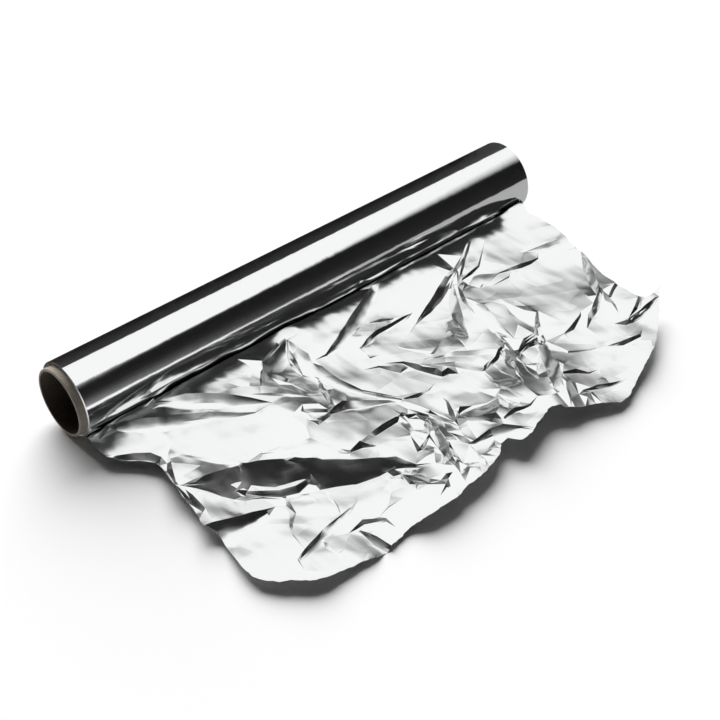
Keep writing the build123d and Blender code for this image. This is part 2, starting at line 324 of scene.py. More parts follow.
# The grid on which the sheet's height over the table is worked out, the wavelength past which its folds die
# away, the height guessed at first, and how often a height and the places read with it are worked out in turn
GRID_STEP = 0.6 * MM
GRID_LOW = (-0.170, -0.010)
GRID_HIGH = (0.170, 0.200)
SETTLE = 60.0 * MM
FIRST_LIFT = 5.0 * MM
ROUNDS = 4

# The degrees past which an edge is sharp, on the sheet and on the other pieces
CREASE_ANGLE, ROUND_ANGLE = 14, 40

# The roll's ends: how far a turn's edge stands back, the phase in radians from one drawn turn to the next,
# and the bevel of the core
END_WANDER, END_PHASE = 0.25 * MM, 2.4
CORE_EDGE = 0.3 * MM

# Foil, from the rolls: how blurred each side mirrors, and its shallow dents and creases as pattern, width,
# length in widths, turn in degrees, and tilt. They are drawn coarser than in life, so that they show.
MATT_ROUGHNESS, BRIGHT_ROUGHNESS = 0.16, 0.09
MATT_DENTS = (("ShaderNodeTexNoise", 9 * MM, 3.0, 50, 0.07), ("ShaderNodeTexNoise", 5 * MM, 4.0, 5, 0.05),
              ("ShaderNodeTexVoronoi", 11 * MM, 2.0, 65, 0.03))
BRIGHT_DENTS = (("ShaderNodeTexVoronoi", 4 * MM, 3.0, 0, 0.006),)
# Paperboard: length of its fibres, their darkest and palest as shares of its colour, and how dull it is
FIBRE = 1.43 * MM
MOTTLE = (0.8, 1.1)
BOARD_ROUGHNESS = 0.9

# Half of the table top's side, and two cards that only reflections show: one stands behind the roll, higher
# at its right end, and one lies beside the roll's right end, just clear of the table
TABLE_HALF = 3.0
STANDING_CARD_X, STANDING_CARD_Y = (-0.2, 0.4), 24 * MM
STANDING_CARD_HIGH = (65 * MM, 81 * MM)
LYING_CARD_X, LYING_CARD_Y = (0.152, 1.5), (-1.2, 0.02)
LYING_CARD_LIFT = 0.5 * MM

# The studio walls. Their rim and the top of their thick cloth are given in degrees over the table: a mean,
# a swing from front to back, and a change at the notch. The hem's share of thinning has a mean and a swing.
WALL_RADIUS = 1.6
WALL_STEPS, WALL_RINGS = 96, 48
WALL_BACK = math.radians(60)
WALL_RIM = (62.0, -26.0, -11.5)
WALL_THICK = (20.0, -20.0, 27.0)
NOTCH_AT, NOTCH_WIDTH = math.radians(313), math.radians(26)
HEM_TOP = math.radians(34)
HEM_SHARE = (0.35, -0.25)

# The lamp's strength, where 1 lights a white surface that faces it to white, its width and its direction,
# and the ceiling's fill
LAMP_STRENGTH, LAMP_WIDTH = 1.74, math.radians(55)
LAMP_FROM = (0.32, 0.66, 0.52)
FILL = 0.18


def camera_facing():
    """Unit vector on the table towards the camera, as distance along the roll and reach."""
    return math.sin(CAMERA_AZIMUTH), math.cos(CAMERA_AZIMUTH)


def smooth_step(low, high, value):
    """0 below low, 1 above high, and an eased rise between them."""
    share = np.clip((value - low) / (high - low), 0, 1)
    return share * share * (3 - 2 * share)


def along(values, share):
    """Values at equal steps, read at shares of 0 to 1 and eased from each to the next by half a cosine."""
    place = np.clip(share, 0, 1) * (len(values) - 1)
    step = np.minimum(place.astype(int), len(values) - 2)
    ease = (1 - np.cos(np.pi * (place - step))) / 2
    table = np.asarray(values, float)
    return table[step] + (table[step + 1] - table[step]) * ease


def height_grid():
    """Distance along the roll and reach over the whole grid."""
    counts = [int(round((high - low) / GRID_STEP)) + 1 for low, high in zip(GRID_LOW, GRID_HIGH)]
    return np.meshgrid(*(low + GRID_STEP * np.arange(n) for low, n in zip(GRID_LOW, counts)))


def sample(field, x, reach):
    """A field of the grid, read between its points by straight-line blending both ways. Places past its
    edge are read just inside it."""
    place_x = np.clip((x - GRID_LOW[0]) / GRID_STEP, 0, field.shape[1] - 1.001)
    place_r = np.clip((reach - GRID_LOW[1]) / GRID_STEP, 0, field.shape[0] - 1.001)
    i, j = place_x.astype(int), place_r.astype(int)
    a, b = place_x - i, place_r - j
    near = field[j, i] * (1 - a) + field[j, i + 1] * a
    far = field[j + 1, i] * (1 - a) + field[j + 1, i + 1] * a
    return near * (1 - b) + far * b


def under_pixels(pixels, table, height=None):
    """Where the photograph's rays through pixels meet the sheet, as distances along the roll and reaches.
    The height is read off the sheet where the ray meets the last guess, a few times over."""
    eye, right, up, forward = camera_axes()
    pixels = np.asarray(pixels, float)
    middle = PHOTO_SIDE / 2
    rays = (forward + ((pixels[:, 0] - middle) / FOCAL_PIXELS)[:, None] * right
            - ((pixels[:, 1] - middle) / FOCAL_PIXELS)[:, None] * up)
    lift = np.full(len(pixels), FIRST_LIFT)
    for _ in range(ROUNDS):
        points = eye + rays * ((table + lift - eye[2]) / rays[:, 2])[:, None]
        if height is not None:
            lift = sample(height, points[:, 0], -points[:, 1])
    return points[:, 0], -points[:, 1]


def standing_height(x, reach, table):
    """The sheet's height off the table without its facets: the mean of a few places' heights, each weighted
    by one over the fourth power of its distance. Beside the roll it also bulges as a bell curve of the
    reach."""
    px, pr = under_pixels([each[:2] for each in STANDING], table)
    total, weights = np.zeros_like(x), np.zeros_like(x)
    for place_x, place_r, (_, _, high) in zip(px, pr, STANDING):
        weight = ((x - place_x) ** 2 + (reach - place_r) ** 2 + STANDING_SPREAD ** 2) ** -2
        total += weight * high * MM
        weights += weight
    bulge = along(ROLL_BULGE_MM, (x - x.min()) / np.ptp(x)) * MM
    near = np.exp(-((reach - BULGE_REACH) / BULGE_WIDTH) ** 2)
    return total / weights * smooth_step(*LIFT_OFF, reach) + bulge * near


def facet_lines(table, height):
    """Each facet on the table: the tangents of its slopes, how hollow it is, the points of its crest, the
    directions from them to its foot, its widths there, and the directions across its straight runs. A
    facet's width is its height in the photograph over what a metre of its slope shows there."""
    face = np.array(camera_facing())
    tall = FOCAL_PIXELS / CAMERA_DISTANCE
    lines = []
    for facing, away, crest in FACETS:
        steep, behind = math.tan(math.radians(abs(facing))), math.tan(math.radians(away))
        shown = tall * (math.sin(CAMERA_ELEVATION) + steep * math.cos(CAMERA_ELEVATION))
        points = np.stack(under_pixels([point[:2] for point in crest], table, height), axis=-1)
        runs = np.diff(points, axis=0)
        normals = np.stack((-runs[:, 1], runs[:, 0]), axis=-1) / np.hypot(*runs.T)[:, None]
        normals *= np.where(normals @ face > 0, 1, -1)[:, None]
        shared = np.concatenate((normals[:1], normals[:-1] + normals[1:], normals[-1:]))
        shared /= np.maximum(np.hypot(*shared.T), BEND_LEAST)[:, None]
        widths = (np.array([point[2] for point in crest]) + FACET_TRIM) * FACET_SPREAD / shown
        lines.append((steep, behind, HOLLOW_SOFT if facing < 0 else HOLLOW, points, shared, widths, normals))
    return lines


def facet_slopes(x, reach, lines):
    """Slopes of the sheet along both axes of the grid: nought on the plates, and the given slope on each
    facet, evenly eased from more at its crest to less at its foot. A later facet covers an earlier one."""
    slope_x, slope_r = np.zeros_like(x), np.zeros_like(x)
    for steep, behind, hollow, points, _, widths, normals in lines:
        for start, stop, first, last, normal in zip(points, points[1:], widths, widths[1:], normals):
            run = stop - start
            margin = max(first, last) * (1 + (steep / behind if behind else 0)) + GRID_STEP
            low = ((np.minimum(start, stop) - margin - GRID_LOW) / GRID_STEP).astype(int)
            high = ((np.maximum(start, stop) + margin - GRID_LOW) / GRID_STEP).astype(int) + 2
            low = np.maximum(low, 0)
            window = np.s_[low[1]:high[1], low[0]:high[0]]
            off_x, off_r = x[window] - start[0], reach[window] - start[1]
            share = np.clip((off_x * run[0] + off_r * run[1]) / (run @ run), 0, 1)
            off_x, off_r = off_x - share * run[0], off_r - share * run[1]
            width = first + (last - first) * share
            out = np.hypot(off_x, off_r)
            front = off_x * normal[0] + off_r * normal[1] >= 0
            drop = steep * (1 + hollow * (1 - 2 * np.minimum(out / np.maximum(width, GRID_STEP), 1)))
            sides = [(front & (out <= width), -drop)]
            if behind:
                sides.append((~front & (out <= width * steep / behind), behind))
            for inside, slope in sides:
                slope_x[window] = np.where(inside, slope * normal[0], slope_x[window])
                slope_r[window] = np.where(inside, slope * normal[1], slope_r[window])
    return slope_x, slope_r


def relief(slope_x, slope_r):
    """The height whose slopes come closest to the given ones, by least squares. It is found with Fourier
    waves on the grid mirrored at its edges; waves longer than SETTLE die away."""
    def mirrored(field, sign_x, sign_r):
        wide = np.concatenate((field, sign_x * field[:, ::-1]), axis=1)
        return np.concatenate((wide, sign_r * wide[::-1]), axis=0)

    wide_x, wide_r = mirrored(slope_x, -1, 1), mirrored(slope_r, 1, -1)
    wave_x = 2 * np.pi * np.fft.rfftfreq(wide_x.shape[1], GRID_STEP)[None, :]
    wave_r = 2 * np.pi * np.fft.fftfreq(wide_x.shape[0], GRID_STEP)[:, None]
    square = wave_x ** 2 + wave_r ** 2
    waves = -1j * (wave_x * np.fft.rfft2(wide_x) + wave_r * np.fft.rfft2(wide_r)) / (square + SETTLE ** -2)
    return np.fft.irfft2(waves, s=wide_x.shape)[:slope_x.shape[0], :slope_x.shape[1]]


def sheet_outline(sizes, table, height, rng):
    """The loose sheet's rim on the table, as one closed line: the line under the roll, the left edge, the
    torn end with its fine teeth, and the right edge. Points lie at equal steps along each."""
    def stepped(edge_x, edge_r, step):
        run = np.concatenate(((0,), np.cumsum(np.hypot(np.diff(edge_x), np.diff(edge_r)))))
        at = np.linspace(0, run[-1], int(run[-1] / step) + 1)
        return np.stack((np.interp(at, run, edge_x), np.interp(at, run, edge_r)), axis=-1)

    left_x, left_r = under_pixels(LEFT_EDGE, table, height)
    right_x, right_r = under_pixels(RIGHT_EDGE, table, height)
    left = stepped(np.append(-sizes.half_width, left_x), np.append(0, left_r), EDGE_STEP)
    right = stepped(np.append(sizes.half_width, right_x), np.append(0, right_r), EDGE_STEP)
    torn = stepped(*under_pixels(TORN_EDGE, table, height), TORN_STEP)
    torn[1:-1] += rng.uniform(-TEETH, TEETH, (len(torn) - 2, 2))
    start = stepped(np.array((1, -1)) * sizes.half_width, np.zeros(2), START_STEP)
    return np.concatenate((start[:-1], left[:-1], torn[:-1], right[:0:-1]))


def within(points, outline):
    """Which points lie inside a closed line: a way out from them crosses it an odd number of times."""
    ahead = np.roll(outline, -1, axis=0)
    x, r = points[:, 0, None], points[:, 1, None]
    spans = (outline[:, 1] > r) != (ahead[:, 1] > r)
    rise = np.where(ahead[:, 1] == outline[:, 1], 1, ahead[:, 1] - outline[:, 1])
    crossing = outline[:, 0] + (r - outline[:, 1]) / rise * (ahead[:, 0] - outline[:, 0])
    return (spans & (x < crossing)).sum(axis=1) % 2 == 1


def facet_points(lines, rng):
    """Points along every facet's crest and foot and along the lines between them, straight from point to
    point of the crest. Returns the points, where each reads its height, which for a crest or a foot is just
    clear of the facet, the pairs of points that a crease joins, and how far each may stray up or down."""
    points, probes, joins, stray = [], [], [], []
    count = 0
    for _, _, hollow, crest, shared, widths, _ in lines:
        steps = len(crest) - 1
        split = max(1, round(np.hypot(*np.diff(crest, axis=0).T).mean() / CREASE_STEP))
        place, knots = np.linspace(0, steps, split * steps + 1), np.arange(steps + 1)
        top, side = (np.stack([np.interp(place, knots, axis) for axis in each.T], axis=-1)
                     for each in (crest, shared))
        wide = np.interp(place, knots, widths)[:, None]
        between = int(wide.max() > WIDE) + 2 * int(wide.max() > WIDEST)
        for share in np.linspace(0, 1, 2 + between):
            line = top + side * wide * share + rng.uniform(-CREASE_WANDER, CREASE_WANDER, top.shape)
            points.append(line)
            probes.append(line + side * CLEAR * (int(share == 1) - int(share == 0)))
            joins.append(count + np.stack((np.arange(len(line) - 1), np.arange(1, len(line))), axis=-1))
            stray.append(np.full(len(line), CREASE_STRAY * (1 - hollow)))
            count += len(line)
    return tuple(np.concatenate(each) for each in (points, probes, joins, stray))


def plate_points(crushed, calm, rng):
    """Points scattered over the plates, one in each cell of a coarse grid, few in the calm places, and in
    rows beside the roll, with more of them in the crushed places. Returns them and how far each may stray
    up or down."""
    counts = [int((high - low) / PLATE) for low, high in zip(GRID_LOW, GRID_HIGH)]
    cells = np.stack(np.meshgrid(*(np.arange(n) for n in counts)), axis=-1).reshape(-1, 2)
    loose = np.array(GRID_LOW) + PLATE * (cells + rng.uniform(PLATE_INSET, 1 - PLATE_INSET, cells.shape))
    for place_x, place_r, radius in calm:
        near = np.hypot(loose[:, 0] - place_x, loose[:, 1] - place_r) < radius
        loose = loose[~near | (rng.uniform(0, 1, len(loose)) < CALM_SHARE)]
    beside = np.stack(np.meshgrid(ROLL_COLUMNS, ROLL_ROWS), axis=-1).reshape(-1, 2)
    loose = np.concatenate((loose[loose[:, 1] > ROLL_ROWS[-1]], beside))
    stray = np.full(len(loose), PLATE_STRAY)
    for place_x, place_r, radius in calm:
        stray *= np.where(np.hypot(loose[:, 0] - place_x, loose[:, 1] - place_r) < radius, CALM_STRAY, 1)
    for place_x, place_r, radius, high in crushed:
        number = int(CRUSH_FILL * (radius / CRUSH) ** 2)
        turn = rng.uniform(0, 2 * np.pi, number)
        out = CRUSH_REACH * radius * np.sqrt(rng.uniform(0, 1, number))
        fine = np.stack((place_x + out * np.cos(turn), place_r + out * np.sin(turn)), axis=-1)
        loose = np.concatenate((loose, fine))
        stray = np.concatenate((stray, np.full(number, high)))
    return loose, stray


def crease_points(lines, crushed, calm, outline, rng):
    """Where creases meet: the facets' points, the rim's, and those of the plates that lie inside the rim
    and well clear of both. Returns them, where each reads its height, the pairs that a crease joins, and
    how far each may stray."""
    points, probes, joins, stray = facet_points(lines, rng)
    rim = len(points) + np.arange(len(outline))
    joins = np.concatenate((joins, np.stack((rim, np.roll(rim, -1)), axis=-1)))
    fixed = np.concatenate((points, outline))
    loose, loose_stray = plate_points(crushed, calm, rng)
    gap = np.hypot(*(loose[:, None] - fixed[None]).T).min(axis=0)
    keep = (gap > CREASE_GAP) & within(loose, outline)
    loose = loose[keep]
    stray = np.concatenate((stray, np.zeros(len(outline)), loose_stray[keep]))
    return np.concatenate((fixed, loose)), np.concatenate((probes, outline, loose)), joins, stray


def sheet_height(sizes):
    """Height of the loose sheet's underside above the table over the grid: its standing height and the
    relief of its facets, never below the table or inside the roll. Also returns the facets' lines."""
    table = -sizes.wound_radius
    x, reach = height_grid()
    standing = standing_height(x, reach, table)
    grown = smooth_step(*FACETS_FROM, reach)
    height = standing
    for _ in range(ROUNDS):
        lines = facet_lines(table, height)
        height = standing + grown * relief(*facet_slopes(x, reach, lines))
        height = np.clip(height, 0, roll_room(sizes, reach))
    return height, lines


def roll_room(sizes, reach):
    """Room for the sheet under the roll: a share of the rise of a circle over its lowest point."""
    inside = np.clip(reach, 0, sizes.wound_radius)
    rise = sizes.wound_radius - np.sqrt(sizes.wound_radius ** 2 - inside ** 2)
    return np.where(reach < sizes.wound_radius, ROOM_SHARE * rise, np.inf)


def placed(places, table, height):
    """Places read from the photograph, each as distance along the roll, reach, and its sizes in metres."""
    at_x, at_r = under_pixels([place[:2] for place in places], table, height)
    return [(x, r, *(MM * size for size in place[2:])) for x, r, place in zip(at_x, at_r, places)]


def loose_sheet(sizes):
    """The loose foil's underside as flat facets: points where creases meet, and the triangles between them.

    The points are joined by the triangulation whose triangles are least slender, with every crest, foot and
    rim kept as an edge. A point's height is read off the height grid, and on the plates it strays a little.
    Where edges cross, the triangulation adds a corner, which takes the grid's height; a corner made of
    several points takes their mean."""
    rng = np.random.default_rng(SEED)
    table = -sizes.wound_radius
    height, lines = sheet_height(sizes)
    crushed, calm = placed(CRUSHED, table, height), placed(CALM, table, height)
    outline = sheet_outline(sizes, table, height, rng)
    points, probes, joins, stray = crease_points(lines, crushed, calm, outline, rng)
    stray *= smooth_step(*STRAY_FROM, points[:, 1])
    high = sample(height, probes[:, 0], probes[:, 1]) + stray * rng.uniform(-1, 1, len(points))
    corners, _, triangles, origin, _, _ = delaunay_2d_cdt(
        list(map(Vector, points.tolist())), joins.tolist(), [], 0, MERGE)
    corners, triangles = np.array(list(map(tuple, corners))), np.array(triangles)
    times = np.fromiter(map(len, origin), int, len(origin))
    total = np.zeros(len(corners))
    np.add.at(total, np.repeat(np.arange(len(corners)), times), high[np.fromiter(chain(*origin), int)])
    level = np.where(times > 0, total / np.maximum(times, 1), sample(height, corners[:, 0], corners[:, 1]))
    level = np.clip(level, 0, roll_room(sizes, corners[:, 1]))
    triangles = triangles[within(corners[triangles].mean(axis=1), outline)]
    used, triangles = np.unique(triangles, return_inverse=True)
    under = np.stack((corners[used, 0], -corners[used, 1], table + level[used]), axis=-1)
    return under, triangles.reshape(-1, 3)


def grid_faces(rows, columns):
    """Four corners for each cell of a grid of points that is stored row after row."""
    first = (np.arange(rows)[:, None] * (columns + 1) + np.arange(columns)[None, :]).ravel()
    return np.stack((first, first + 1, first + columns + 2, first + columns + 1), axis=-1)


def new_piece(name, points, faces, materials, face_material=None, sharp=ROUND_ANGLE):
    """A mesh object at the origin from arrays of points and faces, with edges of more than the given
    degrees kept sharp."""
    mesh = bpy.data.meshes.new(name)
    mesh.vertices.add(len(points))
    mesh.vertices.foreach_set("co", np.ascontiguousarray(points, np.float32).ravel())
    mesh.loops.add(faces.size)
    mesh.loops.foreach_set("vertex_index", np.ascontiguousarray(faces, np.int32).ravel())
    mesh.polygons.add(len(faces))
    mesh.polygons.foreach_set("loop_start", np.arange(0, faces.size, faces.shape[1], dtype=np.int32))
    for material in materials:
        mesh.materials.append(material)
    if face_material is not None:
        mesh.polygons.foreach_set("material_index", np.ascontiguousarray(face_material, np.int32))
    mesh.update()
    mesh.validate()
    mesh.shade_smooth()
    mesh.set_sharp_from_angle(angle=math.radians(sharp))
    piece = bpy.data.objects.new(name, mesh)
    bpy.context.scene.collection.objects.link(piece)
    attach(piece, "root")
    return piece


def closed_sheet(under, triangles, gauge):
    """A thin closed sheet: the triangles, the same ones raised by the thickness, and a strip round the rim,
    which is where an edge has a triangle on one side only. Returns its points, its faces, and how many of
    them one side has."""
    count = len(under)
    points = np.concatenate((under, under + (0, 0, gauge)))
    edges = np.stack((triangles, np.roll(triangles, -1, axis=1)), axis=-1).reshape(-1, 2)
    key = edges.min(axis=1) * count + edges.max(axis=1)
    _, first, times = np.unique(key, return_index=True, return_counts=True)
    start, stop = edges[first[times == 1]].T
    wall = np.concatenate((np.stack((start, stop, stop + count), axis=-1),
                           np.stack((start, stop + count, start + count), axis=-1)))
    return points, np.concatenate((triangles[:, ::-1], triangles + count, wall)), len(triangles)


def turned_piece(profile_x, profile_r, around):
    """A body of revolution round the roll's axis: a closed outline of distances along the axis and radii,
    at equal steps of a full turn."""
    turn = np.linspace(0, 2 * np.pi, around, endpoint=False)[:, None]
    width = len(profile_x)
    points = np.stack(np.broadcast_arrays(
        profile_x, np.cos(turn) * profile_r, np.sin(turn) * profile_r), axis=-1)
    row, column = np.arange(around)[:, None], np.arange(width)[None, :]
    next_row, next_column = (row + 1) % around, (column + 1) % width
    corners = ((row, column), (next_row, column), (next_row, next_column), (row, next_column))
    faces = np.stack([np.broadcast_to(a * width + b, (around, width)).ravel() for a, b in corners], axis=-1)
    return points.reshape(-1, 3), faces


def add_node(tree, kind, settings=None, inputs=None):
    """Adds a node, sets its properties, and gives each input a value or another node's output."""
    node = tree.nodes.new(kind)
    for name, value in (settings or {}).items():
        setattr(node, name, value)
    for name, value in (inputs or {}).items():
        if isinstance(value, bpy.types.NodeSocket):
            tree.links.new(value, node.inputs[name])
        else:
            node.inputs[name].default_value = value
    return node


def new_material(name):
    """An empty node material and its tree."""
    material = bpy.data.materials.new(name)
    material.use_nodes = True
    material.node_tree.nodes.clear()
    return material, material.node_tree


def tilted(tree, place, normal, pattern, size, stretch, turn, amount):
    """Tilts the normal a little, by another amount from place to place of a pattern of soft noise or of
    cells. The pattern is size wide and stretch times as long, and its length is turned from the roll's
    reach by some degrees."""
    turned = add_node(tree, "ShaderNodeMapping", {"vector_type": "TEXTURE"}, {
        "Vector": place, "Rotation": (0, 0, math.radians(turn)), "Scale": (size, size * stretch, size)})
    cells = add_node(tree, pattern, inputs={"Vector": turned.outputs["Vector"], "Scale": 1.0, "Detail": 0.0})
    stray = add_node(tree, "ShaderNodeVectorMath", {"operation": "MULTIPLY_ADD"}, {
        0: cells.outputs["Color"], 1: (2 * amount,) * 3, 2: (-amount,) * 3})
    return add_node(tree, "ShaderNodeVectorMath", {"operation": "ADD"}, {
        0: normal, 1: stray.outputs["Vector"]}).outputs["Vector"]


def foil_material(name, colour, roughness, dents):
    """Cold-rolled aluminium foil: a bare metal mirror, a little blurred by the rolls, more on the matt
    side. Its shallow dents draw out what it mirrors into soft streaks, so that plates have fine shading and
    no flat tone."""
    material, tree = new_material(name)
    place = add_node(tree, "ShaderNodeTexCoord").outputs["Object"]
    normal = add_node(tree, "ShaderNodeNewGeometry").outputs["Normal"]
    for dent in dents:
        normal = tilted(tree, place, normal, *dent)
    unit = add_node(tree, "ShaderNodeVectorMath", {"operation": "NORMALIZE"}, {0: normal})
    surface = add_node(tree, "ShaderNodeBsdfPrincipled", inputs={
        "Base Color": (*colour, 1), "Metallic": 1.0, "Roughness": roughness,
        "Normal": unit.outputs["Vector"]})
    add_node(tree, "ShaderNodeOutputMaterial", inputs={"Surface": surface.outputs["BSDF"]})
    return material


def bright_side(colours):
    """The foil's bright side, which the roll and the loose sheet's underside share."""
    name = "rolled_foil_bright_side"
    made = bpy.data.materials.get(name)
    return made or foil_material(name, colours.foil, BRIGHT_ROUGHNESS, BRIGHT_DENTS)


def board_material(name, colour):
    """Recycled paperboard, wound in a spiral and glued: matt, with a mottle of short fibres a millimetre or
    two long, which keeps the cut end and the bore from looking like plastic."""
    material, tree = new_material(name)
    place = add_node(tree, "ShaderNodeTexCoord").outputs["Object"]
    fibres = add_node(tree, "ShaderNodeTexNoise", inputs={"Vector": place, "Scale": 1 / FIBRE, "Detail": 3.0})
    mottle = add_node(tree, "ShaderNodeMapRange", inputs={
        "Value": fibres.outputs["Fac"], "From Min": 0.3, "From Max": 0.7, "To Min": MOTTLE[0],
        "To Max": MOTTLE[1]})
    tint = add_node(tree, "ShaderNodeVectorMath", {"operation": "SCALE"}, {
        0: colour, "Scale": mottle.outputs["Result"]})
    surface = add_node(tree, "ShaderNodeBsdfPrincipled", inputs={
        "Base Color": tint.outputs["Vector"], "Roughness": BOARD_ROUGHNESS})
    add_node(tree, "ShaderNodeOutputMaterial", inputs={"Surface": surface.outputs["BSDF"]})
    return material


def stage_material(name, colour):
    """A plain matt surface of the stage, with no gloss to show beside the foil's."""
    material, tree = new_material(name)
    surface = add_node(tree, "ShaderNodeBsdfDiffuse", inputs={"Color": (*colour, 1)})
    add_node(tree, "ShaderNodeOutputMaterial", inputs={"Surface": surface.outputs["BSDF"]})
    return material


def stage_piece(name, points, faces, material, hidden_from=()):
    """A mesh object of the stage, hidden from the named kinds of ray. Returns its mesh."""
    mesh = bpy.data.meshes.new(name)
    mesh.from_pydata(points, [], faces)
    mesh.materials.append(material)
    piece = bpy.data.objects.new(name, mesh)
    bpy.context.scene.collection.objects.link(piece)
    for ray in hidden_from:
        setattr(piece, f"visible_{ray}", False)
    return mesh


class FOILROLL_OT_loose_foil(bpy.types.Operator):
    """Builds the crumpled loose length of foil"""

    bl_idname = "foilroll.loose_foil"
    bl_label = "Loose foil"

    def execute(self, context):
        sizes, colours = context.scene.foil_roll_sizes, context.scene.foil_roll_colours
        points, faces, side = closed_sheet(*loose_sheet(sizes), sizes.gauge)
        matt = foil_material("rolled_foil_matt_side", colours.foil, MATT_ROUGHNESS, MATT_DENTS)
        index = np.ones(len(faces), int)
        index[side:2 * side] = 0
        piece = new_piece("loose_foil", points, faces, (matt, bright_side(colours)), index, CREASE_ANGLE)
        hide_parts("foil")
        return {"FINISHED"}


class FOILROLL_OT_wound_foil(bpy.types.Operator):
    """Builds the turns of foil on the core"""

    bl_idname = "foilroll.wound_foil"
    bl_label = "Wound foil"

    def execute(self, context):
        sizes, colours = context.scene.foil_roll_sizes, context.scene.foil_roll_colours
        columns, drawn_turns, around = 241, 12, 220
        across = np.linspace(-1, 1, columns) * sizes.half_width
        turns = np.linspace(sizes.wound_radius, sizes.core_radius, drawn_turns + 1)[1:]
        # How far each drawn turn's edge stands back goes as the square of a sine from turn to turn
        wander = END_WANDER * np.sin(END_PHASE * np.arange(drawn_turns)) ** 2
        profile_x = np.concatenate((across, sizes.half_width - wander, wander[::-1] - sizes.half_width))
        profile_r = np.concatenate((np.full(columns, sizes.wound_radius), turns, turns[::-1]))
        points, faces = turned_piece(profile_x, profile_r, around)
        piece = new_piece("wound_foil", points, faces, (bright_side(colours),))
        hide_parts("foil")
        return {"FINISHED"}


class FOILROLL_OT_core(bpy.types.Operator):
    """Builds the paperboard core"""

    bl_idname = "foilroll.core"
    bl_label = "Core"

    def execute(self, context):
        sizes, colours = context.scene.foil_roll_sizes, context.scene.foil_roll_colours
        low, high, outer, inner = CORE_LOW.x, CORE_HIGH.x, sizes.core_radius, sizes.bore_radius
        columns, around = 61, 128
        end_r = np.array((inner + CORE_EDGE, outer - CORE_EDGE))
        length = np.linspace(low + CORE_EDGE, high - CORE_EDGE, columns)
        profile_x = np.concatenate(((low, low), length, (high, high), length[::-1]))
        profile_r = np.concatenate((end_r, np.full(columns, outer), end_r[::-1], np.full(columns, inner)))
        points, faces = turned_piece(profile_x, profile_r, around)
        # The bore's faces take the liner, a kraft brown darkened as painted shade for the shadowed inside of
        # the tube.
        inside = np.tile(np.arange(len(profile_x)) >= columns + 2 * len(end_r), around)
        board = board_material("spiral_wound_greyboard", colours.board)
        liner_with_painted_shade = board_material("kraft_liner_painted_bore_shade", colours.liner_with_painted_shade)
        piece = new_piece("core", points, faces, (board, liner_with_painted_shade), inside)
        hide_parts("core_tube")
        return {"FINISHED"}


